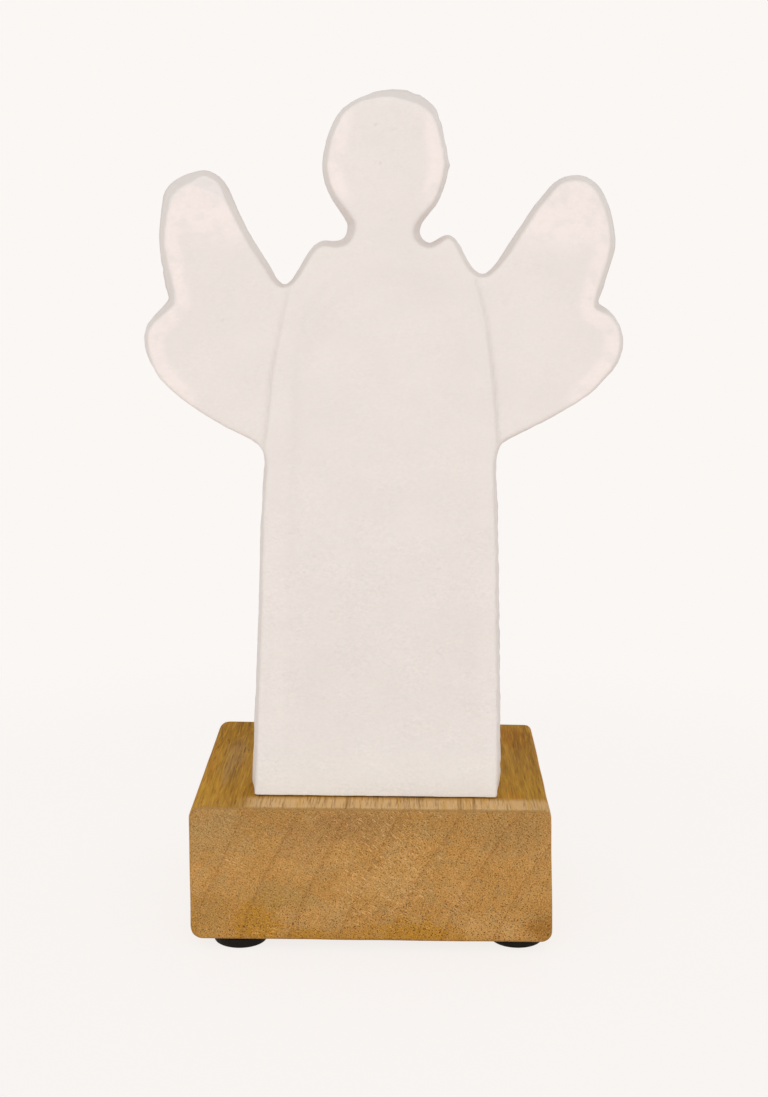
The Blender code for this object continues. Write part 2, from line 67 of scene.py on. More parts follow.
# Light and stage
BACKGROUND = (0.965, 0.930, 0.905)
AMBIENT = 0.70
KEY_STRENGTH = 1.33
KEY_FROM = (-0.10, -1.0, 0.10)
KEY_ANGLE = 110.0
FILL_STRENGTH = 0.65
FILL_FROM = (0.25, 1.0, 0.06)
FILL_ANGLE = 40.0
FLOOR_SIZE = 4.0
FLOOR_DROP = 0.05 * MM
FLOOR_CATCH = 0.12
FLOOR_FADE_START = 0.16
FLOOR_FADE_END = 0.30

# Coat colours: the face, then painted shade on the walls, their rim and ledges, and painted light at the
# foot
COAT = (0.838, 0.773, 0.729)
COAT_PINK = (0.922, 0.820, 0.782)
COAT_SHADE_AND_TONE = (0.795, 0.733, 0.690)
COAT_WALL_SHADE = (0.818, 0.754, 0.716)
COAT_RIM_SHADE = (0.560, 0.490, 0.440)
COAT_LEDGE_SHADE = (0.795, 0.726, 0.686)
COAT_FOOT_LIGHT = (0.945, 0.955, 0.940)

# The casting's unevenness: long waves, a fine ripple with more of it low on the right, and waves in the back
WAVE = 0.10 * MM
RIPPLE = 0.05 * MM
RIPPLE_LOW_RIGHT = 0.09 * MM
REAR_WAVE = 0.10 * MM

# The foot's front edge: the radius of its rounding, the share of it that is left, and the radii drawn in
FOOT_EDGE = 1.3 * MM
FOOT_EDGE_SHARE = 0.35
FOOT_EDGE_REACH = 2.5

# The flat ground on the left wing: three corners in millimetres, the least cut that shows and its share of
# painted light
FACETS = (
    ((-52.5, -30.1, 211.4), (-41.0, -30.1, 205.4), (-43.3, -24.2, 210.8)),
)
GROUND_LEAST = 0.05 * MM
GROUND_PAINTED_LIGHT = 0.15

# Nicks in the wall: place across and up, radius and depth in millimetres, with a depth below zero for a nub
NICKS = (
    ((14.6, 227.8), 1.6, 0.35),
    ((17.0, 215.3), 1.0, -0.25),
    ((7.7, 234.2), 1.4, 0.30),
    ((-60.2, 187.4), 1.5, 0.35),
)

# Pits in the face, across and up in millimetres
PITS = ((-0.8, 215.6), (2.0, 224.0), (-2.1, 225.2), (42.3, 170.2), (-42.5, 174.3), (-15.4, 136.5))
PIT_RADIUS = 0.30 * MM
PIT_DEPTH = 0.25 * MM

# Groove at the foot of the dress's step, across and up in millimetres from armpit to crotch
SEAM_LEFT = ((-32.3, 139.5), (-31.1, 148.6), (-29.9, 161.0), (-28.7, 166.8), (-26.9, 175.6), (-25.2, 183.2))
SEAM_RIGHT = ((31.6, 139.5), (30.9, 149.1), (30.0, 158.8), (28.9, 166.5), (27.7, 175.2), (24.8, 185.5))
SEAM_WIDTH = 0.55 * MM
SEAM_DEPTH = 0.35 * MM
SEAM_TOP = 0.55

# Sunken arch in the dress, with painted shade along its edge: its middle, half its width at its spring and
# at its foot, and its soft edge
ARCH_MIDDLE = 0.6 * MM
ARCH_HALF = 25.3 * MM
ARCH_FOOT_HALF = 30.0 * MM
ARCH_SPRING = 152.3 * MM
ARCH_RISE = 38.0 * MM
ARCH_SQUARENESS = 2.7
ARCH_EDGE = 4.0 * MM

# The neck's walls, which get less painted shade at their rim: their place to either side and up, and their
# size
NECK_PLACE = (13.0 * MM, 196.0 * MM)
NECK_SIZE = 11.0 * MM

# The block's unevenness
BLOCK_WAVE = 0.07 * MM

# Wood: places across and up that the rings circle and the rays point at, and the spacing of what it shows
HEART = (170.0 * MM, -60.0 * MM)
RAY_TARGET = (80.0 * MM, -35.0 * MM)
RING_SPACING = 13.0 * MM
FINE_RINGS = 3.7
RAYS_PER_RADIAN = 470.0
RAY_DEPTH = 3.0 * MM
RAY_LENGTH = 1.7 * MM
PORE_SPACING = 0.74 * MM
PORE_SWAY = 4.0 * MM

# Wood's colours on the ends
END_DARK = (0.472, 0.238, 0.066)
END_LIGHT = (0.545, 0.290, 0.093)
END_TOP = (0.375, 0.200, 0.062)
RING = (0.270, 0.115, 0.030)
FINE_RING = (0.270, 0.125, 0.035)
MOTTLE_LIGHT = (0.650, 0.360, 0.110)
MOTTLE_DARK = (0.290, 0.140, 0.030)
CRUMB_GREEN = (0.345, 0.225, 0.060)
CRUMB_RUST = (0.610, 0.290, 0.080)
RAY = (0.730, 0.465, 0.215)
END_PORE = (0.105, 0.052, 0.018)
END_EDGE_TINT = (0.360, 0.205, 0.072)
GOLD = (0.455, 0.214, 0.021)
DARK_GOLD = (0.300, 0.130, 0.022)
OLIVE = (0.340, 0.215, 0.068)
PALE_OLIVE = (0.425, 0.262, 0.105)
MAUVE = (0.335, 0.175, 0.068)
SLATE = (0.350, 0.195, 0.070)
PALE = (0.620, 0.370, 0.140)
HAZE = (0.420, 0.268, 0.110)

# Wood's colours on the top and sides
LONG_DARK = (0.375, 0.180, 0.018)
LONG_LIGHT = (0.505, 0.255, 0.030)
FRONT_STRIP_LIGHT = (0.750, 0.495, 0.250)
BAND_LIGHT = (0.570, 0.300, 0.040)
BAND_DARK = (0.245, 0.108, 0.012)
FIBRE_LIGHT = (0.625, 0.348, 0.062)
FIBRE_DARK = (0.230, 0.095, 0.009)
SIDE_TINT = (0.560, 0.340, 0.160)
LONG_PORE = (0.105, 0.050, 0.014)

# Tinted patches in the end grain: middle across and up and size in millimetres, share and colour
END_PATCHES = (
    ((-9.0, 2.0), (44.0, 4.6), 0.65, GOLD),
    ((-34.0, 8.5), (8.0, 8.5), 0.85, GOLD),
    ((-22.0, 4.0), (6.5, 3.2), 0.65, GOLD),
    ((9.0, 5.0), (14.0, 5.6), 0.90, GOLD),
    ((24.0, 4.0), (6.0, 3.2), 0.50, GOLD),
    ((-52.0, 7.0), (1.6, 9.0), 0.60, GOLD),
    ((46.0, 7.0), (5.0, 5.0), 0.75, DARK_GOLD),
    ((-46.0, 34.0), (11.0, 9.0), 0.60, PALE_OLIVE),
    ((-47.0, 11.0), (6.0, 6.0), 0.35, OLIVE),
    ((-27.0, 16.0), (12.0, 5.0), 0.45, OLIVE),
    ((-7.5, 37.0), (13.0, 6.0), 0.60, MAUVE),
    ((33.0, 33.5), (6.0, 6.0), 0.50, SLATE),
    ((41.0, 34.0), (5.0, 7.0), 0.50, SLATE),
    ((26.0, 7.0), (2.2, 5.0), 0.40, PALE),
    ((36.0, 7.0), (2.0, 4.0), 0.40, PALE),
    ((3.0, 20.0), (11.0, 9.0), 0.35, PALE),
    ((-13.0, 11.5), (8.0, 5.0), 0.30, PALE),
    ((31.0, 9.0), (9.0, 5.0), 0.25, PALE),
    ((-22.0, 33.0), (9.0, 7.0), 0.35, MAUVE),
)

# Tinted patches in the top: middle across and back and size in millimetres, share and colour
TOP_PATCHES = (
    ((-50.5, -2.0), (2.2, 26.0), 0.70, (0.400, 0.170, 0.018)),
    ((-44.0, 0.0), (4.0, 24.0), 0.50, (0.370, 0.220, 0.095)),
    ((-46.0, 28.0), (6.0, 14.0), 0.50, (0.350, 0.165, 0.014)),
    ((-48.0, -28.0), (5.0, 10.0), 0.50, (0.460, 0.230, 0.025)),
    ((38.0, -31.0), (3.0, 8.0), 0.60, (0.480, 0.195, 0.010)),
    ((41.0, 4.0), (5.0, 12.0), 0.45, (0.320, 0.160, 0.030)),
    ((40.0, 26.0), (8.0, 14.0), 0.65, (0.340, 0.120, 0.006)),
    ((47.5, 8.0), (1.8, 14.0), 0.70, (0.450, 0.170, 0.008)),
    ((44.0, -24.0), (6.0, 12.0), 0.50, (0.400, 0.205, 0.018)),
)

# Pads: their places, edges, steps of their rings and colours
PAD_NAMES = ("front_left", "front_right", "rear_left", "rear_right")
PAD_EDGE = 0.45 * MM
PAD_FLAT_SHARES = (0.25, 0.5, 0.75, 0.93)
PAD_EDGE_STEPS = 6
PAD_WALL_STEPS = 6
PAD_SEGMENTS = 96
PAD_SHARP_ANGLE = 40
PAD_BLACK = (0.004, 0.0024, 0.0012)
PAD_WORN = (0.010, 0.0060, 0.0030)
PAD_DUST = (0.050, 0.032, 0.016)

# Screws: head and shank, thread, tip, socket and colours
SCREW_HEAD_HEIGHT = 3.0 * MM
SCREW_SHANK_RADIUS = 2.0 * MM
SCREW_SEGMENTS = 48
SCREW_SHARP_ANGLE = 38
THREAD_PITCH = 0.7 * MM
THREAD_DEPTH = 0.38 * MM
THREAD_STEPS = 8
THREAD_START = 0.3 * MM
THREAD_RUN_IN = 2.0 * MM
SCREW_TIP_LENGTH = 0.9 * MM
SCREW_TIP_TAPER = 0.5 * MM
SOCKET_WIDTH = 2.5 * MM
SOCKET_DEPTH = 1.7 * MM
STEEL_DARK = (0.50, 0.50, 0.49)
STEEL_LIGHT = (0.66, 0.66, 0.64)


def clamp(values, low, high):
    return np.minimum(np.maximum(values, low), high)


def smooth(values):
    """Ease shares from 0 to 1."""
    values = clamp(values, 0.0, 1.0)
    return values * values * (3 - 2 * values)


def rise(values, start, length):
    """Ease from 0 to 1 as values go up from a start over a length, both in millimetres."""
    return smooth((values - start * MM) / (length * MM))


def read_points(mesh):
    points = np.empty(len(mesh.vertices) * 3, np.float32)
    mesh.vertices.foreach_get("co", points)
    return points.reshape(-1, 3).astype(float)


def write_points(mesh, points):
    mesh.vertices.foreach_set("co", points.astype(np.float32).ravel())
    mesh.update()


def read_normals(mesh):
    normals = np.empty(len(mesh.vertices) * 3, np.float32)
    mesh.vertex_normals.foreach_get("vector", normals)
    return normals.reshape(-1, 3).astype(float)


def add_attribute(mesh, name, values):
    attribute = mesh.attributes.new(name, "FLOAT", "POINT")
    attribute.data.foreach_set("value", np.asarray(values, np.float32))


def noise_at(points, size, seed):
    """Return smooth noise from about -1 to 1 at each point, with bumps of about a given size."""
    shift = Vector((seed * 7.3, seed * 3.1, seed * 5.7))
    scaled = points / size
    return np.array([noise.noise(Vector(p) + shift) for p in scaled]) * 1.6


def fine_copy(node, name):
    """Return a finely meshed copy of a CAD node, drawn back onto the node's surface."""
    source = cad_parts[node]
    piece = bpy.data.objects.new(name, source.data.copy())
    bpy.context.scene.collection.objects.link(piece)
    remesh = piece.modifiers.new("remesh", "REMESH")
    remesh.mode = "VOXEL"
    remesh.voxel_size = VOXEL
    bpy.context.view_layer.update()
    shaped = piece.evaluated_get(bpy.context.evaluated_depsgraph_get())
    mesh = bpy.data.meshes.new_from_object(shaped)
    piece.modifiers.clear()
    piece.data = mesh
    mesh.name = name
    mesh.materials.clear()
    welded = bmesh.new()
    welded.from_mesh(source.data)
    bmesh.ops.remove_doubles(welded, verts=welded.verts, dist=WELD_DISTANCE)
    surface = BVHTree.FromBMesh(welded)
    welded.free()
    points = read_points(mesh)
    for i, point in enumerate(points):
        nearest = surface.find_nearest(Vector(point))[0]
        if nearest is not None:
            points[i] = nearest
    write_points(mesh, points)
    return piece


def edge_pairs(mesh):
    pairs = np.empty(len(mesh.edges) * 2, np.int32)
    mesh.edges.foreach_get("vertices", pairs)
    return pairs.reshape(-1, 2)


def relax(points, pairs):
    """Soften a mesh: move each point towards the mean of its neighbours, a few times."""
    count = np.bincount(pairs.ravel(), minlength=len(points)).astype(float)
    for _ in range(SOFTEN_ROUNDS):
        total = np.zeros_like(points)
        for axis in range(3):
            total[:, axis] += np.bincount(pairs[:, 0], points[pairs[:, 1], axis], len(points))
            total[:, axis] += np.bincount(pairs[:, 1], points[pairs[:, 0], axis], len(points))
        mean = total / count[:, None]
        points = points + (mean - points) * SOFTEN_SHARE
    return points


def keep_inside(points, node):
    low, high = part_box(node)
    return clamp(points, np.array(low), np.array(high))


def grind(points, corners):
    """Grind a flat where points lie in front of the plane through three corners, near their middle."""
    facing = np.cross(corners[1] - corners[0], corners[2] - corners[0])
    facing /= np.linalg.norm(facing)
    facing *= -np.sign(facing[1])
    above = (points - corners[0]) @ facing
    reach = max(np.linalg.norm(a - b) for a in corners for b in corners)
    near = np.linalg.norm(points - np.mean(corners, axis=0), axis=1) < reach
    above = np.where(near & (above > 0), above, 0.0)
    return points - above[:, None] * facing


def smooth_shade(mesh, angle=None):
    mesh.shade_smooth()
    if angle is not None:
        mesh.set_sharp_from_angle(angle=math.radians(angle))


# Material helpers

class Nodes:
    """A material's node tree, with short calls for the nodes that the finishes use."""

    def __init__(self, name):
        self.material = bpy.data.materials.new(name)
        self.material.use_nodes = True
        self.tree = self.material.node_tree
        self.shader = self.tree.nodes["Principled BSDF"]

    def add(self, kind, **settings):
        node = self.tree.nodes.new(kind)
        for key, value in settings.items():
            setattr(node, key, value)
        return node

    def plug(self, target, value):
        if isinstance(value, bpy.types.NodeSocket):
            self.tree.links.new(value, target)
        elif isinstance(value, tuple) and len(value) == 3 and target.type == "RGBA":
            target.default_value = (*value, 1.0)
        else:
            target.default_value = value

    def place(self):
        return self.add("ShaderNodeTexCoord").outputs["Object"]

    def scaled(self, vector, size, shift=(0, 0, 0)):
        """Return coordinates in which one unit is a given size, in millimetres along each axis."""
        node = self.add("ShaderNodeMapping", vector_type="POINT")
        self.plug(node.inputs["Vector"], vector)
        node.inputs["Scale"].default_value = [1 / (s * MM) for s in size]
        node.inputs["Location"].default_value = shift
        return node.outputs["Vector"]

    def noise(self, vector, detail, roughness=0.5):
        node = self.add("ShaderNodeTexNoise")
        self.plug(node.inputs["Vector"], vector)
        node.inputs["Scale"].default_value = 1.0
        node.inputs["Detail"].default_value = detail
        node.inputs["Roughness"].default_value = roughness
        return node.outputs["Fac"]

    def cells(self, vector, scale, dimensions="3D"):
        """Return the distance from the nearest of many scattered points."""
        node = self.add("ShaderNodeTexVoronoi", voronoi_dimensions=dimensions)
        self.plug(node.inputs["Vector"], vector)
        node.inputs["Scale"].default_value = scale
        return node.outputs["Distance"]

    def attribute(self, name):
        return self.add("ShaderNodeAttribute", attribute_name=name).outputs["Fac"]

    def math(self, operation, a, b=0.0):
        node = self.add("ShaderNodeMath", operation=operation)
        self.plug(node.inputs[0], a)
        self.plug(node.inputs[1], b)
        return node.outputs[0]

    def ramp(self, value, low, high, out_low=0.0, out_high=1.0, linear=False):
        """Return a value carried from one range to another, and held at its ends."""
        node = self.add("ShaderNodeMapRange", interpolation_type="LINEAR" if linear else "SMOOTHSTEP")
        for name, setting in (("Value", value), ("From Min", low), ("From Max", high),
                              ("To Min", out_low), ("To Max", out_high)):
            self.plug(node.inputs[name], setting)
        return node.outputs[0]

    def mix(self, share, a, b, blend="MIX"):
        """Return colour a with a share of colour b."""
        node = self.add("ShaderNodeMix", data_type="RGBA", blend_type=blend)
        self.plug(node.inputs[0], share)
        self.plug(node.inputs[6], a)
        self.plug(node.inputs[7], b)
        return node.outputs[2]

    def split(self, vector):
        node = self.add("ShaderNodeSeparateXYZ")
        self.plug(node.inputs[0], vector)
        return node.outputs

    def join(self, x, y, z):
        node = self.add("ShaderNodeCombineXYZ")
        for socket, value in zip(node.inputs, (x, y, z)):
            self.plug(socket, value)
        return node.outputs[0]

    def polar(self, x, z, middle):
        """Return each place's distance and direction from a middle in the XZ plane."""
        across = self.math("SUBTRACT", x, middle[0])
        up = self.math("SUBTRACT", z, middle[1])
        squares = self.math("ADD", self.math("MULTIPLY", across, across), self.math("MULTIPLY", up, up))
        return self.math("SQRT", squares), self.math("ARCTAN2", up, across)

    def vector_math(self, operation, a, b):
        node = self.add("ShaderNodeVectorMath", operation=operation)
        self.plug(node.inputs[0], a)
        self.plug(node.inputs[1], b)
        return node.outputs[0]

    def bump(self, height, distance, strength):
        node = self.add("ShaderNodeBump")
        self.plug(node.inputs["Height"], height)
        node.inputs["Distance"].default_value = distance
        node.inputs["Strength"].default_value = strength
        return node.outputs["Normal"]


def coat_colour(n, place):
    """Return the coat's colour by the mesh's masks: the face, painted shade on walls, ledges and rim,
    painted light at the foot.
    """
    blots = n.noise(n.scaled(place, (4.2, 4.2, 3.2)), detail=3)
    pink = n.math("MULTIPLY", n.attribute("pink"), n.ramp(blots, 0.34, 0.54, 0.35, 1.0))
    up = n.split(n.add("ShaderNodeNewGeometry").outputs["Normal"])[2]
    # Painted shade on the walls, darker still on ledges that face up.
    wall = n.mix(n.ramp(up, 0.30, 0.85), COAT_WALL_SHADE, COAT_LEDGE_SHADE)
    colour = n.mix(pink, COAT, COAT_PINK)
    # A darker tone with painted shade, painted shade on the walls and at their rim, and painted light at the
    # foot.
    for mask, tint in (("shade_and_tone", COAT_SHADE_AND_TONE), ("wall", wall), ("rim", COAT_RIM_SHADE), ("foot", COAT_FOOT_LIGHT)):
        colour = n.mix(n.attribute(mask), colour, tint)
    return colour


def coat_pits(n, place):
    """Return a mask of small pits: scattered ones in some places, and those that the mesh has."""
    pits = n.cells(n.scaled(place, (4.6, 4.6, 4.6)), 5.0)
    where = n.noise(n.scaled(place, (12.0, 12.0, 12.0), shift=(3, 5, 1)), detail=1)
    scattered = n.math("MULTIPLY", n.ramp(pits, 0.030, 0.075, 1.0, 0.0), n.ramp(where, 0.48, 0.56))
    return n.math("MAXIMUM", scattered, n.attribute("pit"))


def coat_material():
    """White matt coat with a fine sandy grain, small pits and painted shade in the groove round the dress.
    """
    n = Nodes("white_coat")
    place = n.place()
    streak = n.noise(n.scaled(place, (1.3, 1.3, 0.80)), detail=1)
    speck = n.noise(n.scaled(place, (0.90, 0.90, 0.80)), detail=1, roughness=0.6)
    fleck = n.noise(n.scaled(place, (1.2, 1.2, 0.60), shift=(3, 3, 3)), detail=1)
    fine = n.noise(n.scaled(place, (0.30, 0.30, 0.30)), detail=2)
    cloud = n.noise(n.scaled(place, (16.0, 16.0, 12.0)), detail=3)
    zone = n.noise(n.scaled(place, (9.0, 9.0, 7.0), shift=(6, 2, 8)), detail=2)
    coarse = n.ramp(n.split(place)[2], 150 * MM, 100 * MM, 0.50, 1.0)
    coarse = n.math("MULTIPLY", coarse, n.ramp(zone, 0.38, 0.62, 0.50, 1.00))
    pit = coat_pits(n, place)
    tone = n.math("ADD", n.ramp(streak, 0.3, 0.7, -0.018, 0.018), n.ramp(speck, 0.3, 0.7, -0.020, 0.020))
    tone = n.math("SUBTRACT", tone, n.ramp(fleck, 0.64, 0.71, 0.0, 0.045))
    tone = n.math("MULTIPLY", tone, coarse)
    tone = n.math("ADD", tone, n.ramp(cloud, 0.3, 0.7, -0.012, 0.012))
    tone = n.math("ADD", tone, 1.0)
    # Painted shade in the pits.
    tone = n.math("SUBTRACT", tone, n.math("MULTIPLY", pit, 0.13))
    # Painted shade in the groove round the dress.
    tone = n.math("SUBTRACT", tone, n.math("MULTIPLY", n.attribute("seam"), 0.075))
    colour = n.mix(1.0, coat_colour(n, place), n.join(tone, tone, tone), "MULTIPLY")
    n.plug(n.shader.inputs["Base Color"], colour)
    n.plug(n.shader.inputs["Roughness"], n.ramp(speck, 0.3, 0.7, 0.82, 0.93))
    n.shader.inputs["Specular IOR Level"].default_value = 0.2
    height = n.math("ADD", n.math("MULTIPLY", streak, 0.25), n.math("MULTIPLY", speck, 0.45))
    height = n.math("MULTIPLY", height, coarse)
    height = n.math("ADD", height, n.math("MULTIPLY", fine, 0.15))
    height = n.math("SUBTRACT", height, n.math("MULTIPLY", pit, 0.8))
    n.plug(n.shader.inputs["Normal"], n.bump(height, 0.18 * MM, 0.8))
    return n.material


def line_distance(x, z, line):
    """Return each point's distance from a line of corners, and its share of the way along it."""
    best = np.full(len(x), 1.0)
    along = np.zeros(len(x))
    runs = len(line) - 1
    for i in range(runs):
        start, end = np.array(line[i]) * MM, np.array(line[i + 1]) * MM
        run = end - start
        share = ((x - start[0]) * run[0] + (z - start[1]) * run[1]) / (run @ run)
        share = clamp(share, 0.0, 1.0)
        gap = np.hypot(x - start[0] - share * run[0], z - start[1] - share * run[1])
        nearer = gap < best
        best = np.where(nearer, gap, best)
        along = np.where(nearer, (i + share) / runs, along)
    return best, along


def arch_inset(x, z, foot):
    """Return how far each point lies inside the sunken arch's edge."""
    share = clamp((ARCH_SPRING - z) / (ARCH_SPRING - foot), 0.0, 1.0)
    half = ARCH_HALF + (ARCH_FOOT_HALF - ARCH_HALF) * share
    straight = half - np.abs(x - ARCH_MIDDLE)
    across = np.abs(x - ARCH_MIDDLE) / ARCH_HALF
    up = np.maximum(z - ARCH_SPRING, 0.0) / ARCH_RISE
    reach = (across ** ARCH_SQUARENESS + up ** ARCH_SQUARENESS) ** (1 / ARCH_SQUARENESS)
    return np.where(z < ARCH_SPRING, straight, ARCH_HALF * (1 - reach))


def sharpen_foot(points, low):
    """Draw the rounding of the foot's front edge in, so that it stands crisply on the block."""
    back = (points[:, 1] - low[1]) / FOOT_EDGE
    up = (points[:, 2] - low[2]) / FOOT_EDGE
    rest = FOOT_EDGE_REACH - 1

    def drawn(share):
        near = share * FOOT_EDGE_SHARE
        far = FOOT_EDGE_SHARE + (share - 1) * (FOOT_EDGE_REACH - FOOT_EDGE_SHARE) / rest
        return np.where(share < 1, near, np.where(share < FOOT_EDGE_REACH, far, share))

    near_up = 1 - smooth((up - 1) / rest)
    near_back = 1 - smooth((back - 1) / rest)
    points[:, 1] += (drawn(back) - back) * FOOT_EDGE * near_up
    points[:, 2] += (drawn(up) - up) * FOOT_EDGE * near_back
    return points


def grind_facets(points):
    """Grind the flats, and return the points with a mask of those that were cut."""
    ground = np.zeros(len(points))
    for corners in FACETS:
        cut = grind(points, [np.array(c) * MM for c in corners])
        ground = np.maximum(ground, np.linalg.norm(cut - points, axis=1) > GROUND_LEAST)
        points = cut
    return points, ground


def wall_relief(points, normals):
    """Return how far waves, ripple and nicks push each point out, which they do most on the walls."""
    x, z = points[:, 0], points[:, 2]
    wall = smooth((0.80 + normals[:, 1]) / 0.4)
    low_right = rise(x, 28, 4) * (1 - rise(z, 132, 10))
    wave = noise_at(points, 8 * MM, 1) * WAVE
    ripple = noise_at(points * np.array((1, 0.35, 1)), 2.2 * MM, 2) * (RIPPLE + RIPPLE_LOW_RIGHT * low_right)
    move = (wave + ripple) * (0.20 + 0.80 * wall)
    for at, radius, depth in NICKS:
        away = np.hypot(x - at[0] * MM, z - at[1] * MM) / (radius * MM)
        move -= depth * MM * np.exp(-away ** 2 * 2) * wall
    return move


def seam_mask(x, z, facing):
    """Return how deep in the groove round the dress each point lies, from 0 to 1."""
    seam = np.zeros(len(x))
    for line in (SEAM_LEFT, SEAM_RIGHT):
        gap, along = line_distance(x, z, line)
        fade = SEAM_TOP + (1 - SEAM_TOP) * smooth((1 - along) / 0.5)
        seam += np.exp(-(gap / SEAM_WIDTH) ** 2) * fade * facing
    return seam


def pit_mask(x, z, facing):
    """Return how deep in a pit of the face each point lies, from 0 to 1."""
    pit = np.zeros(len(x))
    for across, up in PITS:
        away = np.hypot(x - across * MM, z - up * MM) / PIT_RADIUS
        pit = np.maximum(pit, np.exp(-away ** 2) * facing)
    return pit


def wall_distance(x, z, normals, facing):
    """Return how far each point of the face lies from the nearest wall, seen from the front."""
    rim = np.nonzero((normals[:, 1] > -0.75) & (normals[:, 1] < 0.2))[0]
    tree = KDTree(len(rim))
    for i in rim:
        tree.insert(Vector((x[i], z[i], 0)), int(i))
    tree.balance()
    inset = np.zeros(len(x))
    for i in np.nonzero(facing > 0)[0]:
        inset[i] = tree.find(Vector((x[i], z[i], 0)))[2]
    return inset


def pink_mask(x, z, inset):
    """Return the share of pink: on the wings' tops, their outer rims and the rim of the head."""
    across = np.abs(x)
    rim = 1 - rise(inset, 2.8, 2.6)
    wing = rise(across, 26, 10) * rise(z, 142, 12)
    head = rise(z, 203, 6) * (across < 22 * MM) * rise(across, 6, 6)
    return np.maximum(np.maximum(rim * rise(across, 46, 8), rise(z, 190, 10)) * wing, rim * head)


def shade_and_tone_mask(x, z, foot):
    """Return the share of a darker tone, slight over the face and more low in the sunken arch, and of
    painted shade along its left edge and top.
    """
    lower = (1 - rise(z, 70, 80)) * (0.4 + 0.6 * rise(z - foot, 0, 30))
    arch = arch_inset(x, z, foot)
    field = smooth(arch / ARCH_EDGE)
    side = rise(ARCH_MIDDLE - x, 6, 8) * rise(z - foot, 20, 60)
    side = np.maximum(side, 0.45 * rise(z, 172, 12))
    # Painted shade along the sunken arch's edge.
    edge_shade = np.exp(-((arch - 0.30 * ARCH_EDGE) / (0.25 * ARCH_EDGE)) ** 2) * side
    return clamp(0.10 + field * (0.05 + 0.45 * lower) + edge_shade * 0.36, 0.0, 1.0)


def rim_shade_mask(x, z, depth, normals, rear):
    """Return the share of painted shade near the walls' back edge: less on ledges that face up and by the
    neck.
    """
    level = smooth((normals[:, 2] - 0.35) / 0.40)
    deep = rise(depth, -4.5, 4.0)
    neck = np.hypot(np.abs(x) - NECK_PLACE[0], z - NECK_PLACE[1]) / NECK_SIZE
    pale = 1 - (1 - 0.75 * level) * (1 - 0.70 * np.exp(-neck ** 2) * (1 - rear))
    return 0.50 * (1 - pale) * deep


def foot_light_mask(z, foot):
    """Return the share of painted light: a white that fades upwards from the foot."""
    above = clamp(z - foot, 0.0, 1.0)
    return 0.75 * np.exp(-above / (9 * MM)) + 0.25 * np.exp(-above / (1.5 * MM))


def build_figure(material):
    """The cast figure: finely meshed, with a ground flat, nicks, pits, a groove and slightly rough walls."""
    piece = fine_copy("angel_figure", "cast_figure")
    mesh = piece.data
    low, high = (np.array(c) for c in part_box("angel_figure"))
    points = relax(read_points(mesh), edge_pairs(mesh))
    points, ground = grind_facets(sharpen_foot(points, low))
    write_points(mesh, points)
    normals = read_normals(mesh)
    x, z = points[:, 0], points[:, 2]
    facing = 1 - smooth((0.90 + normals[:, 1]) / 0.2)
    steep = smooth((0.47 + normals[:, 1]) / 0.10)
    rear = smooth((normals[:, 1] - 0.3) / 0.4)
    seam = seam_mask(x, z, facing)
    pit = pit_mask(x, z, facing)
    move = wall_relief(points, normals) - seam * SEAM_DEPTH - pit * PIT_DEPTH
    move -= rear * (1 + noise_at(points, 7 * MM, 3)) * REAR_WAVE
    final = keep_inside(points + normals * move[:, None], "angel_figure")
    write_points(mesh, final)
    pink = pink_mask(x, z, wall_distance(x, z, normals, facing))
    # Painted shade near the walls' back edge.
    rim = rim_shade_mask(x, z, final[:, 1] - high[1], normals, rear)
    add_attribute(mesh, "pink", np.maximum(pink * facing, ground))
    # A darker tone, with painted shade along the sunken arch's edge.
    add_attribute(mesh, "shade_and_tone", shade_and_tone_mask(x, z, low[2]) * facing)
    # Walls, which take painted shade.
    add_attribute(mesh, "wall", steep)
    add_attribute(mesh, "rim", rim * steep)
    # Painted light at the foot, and a little on the ground flat.
    add_attribute(mesh, "foot", np.maximum(foot_light_mask(z, low[2]) * facing, ground * GROUND_PAINTED_LIGHT))
    add_attribute(mesh, "seam", seam)
    add_attribute(mesh, "pit", pit)
    smooth_shade(mesh)
    mesh.materials.append(material)
    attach(piece, "root")
    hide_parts("angel_figure")


def patch(n, place, ragged, middle, size):
    """Return a soft-edged mask round a middle, with a size along each axis, both in millimetres."""
    offset = n.vector_math("SUBTRACT", place, tuple(v * MM for v in middle))
    offset = n.vector_math("DIVIDE", offset, tuple(v * MM for v in size))
    node = n.add("ShaderNodeVectorMath", operation="LENGTH")
    n.plug(node.inputs[0], offset)
    away = n.math("ADD", node.outputs["Value"], ragged)
    return n.ramp(away, 1.10, 0.45)


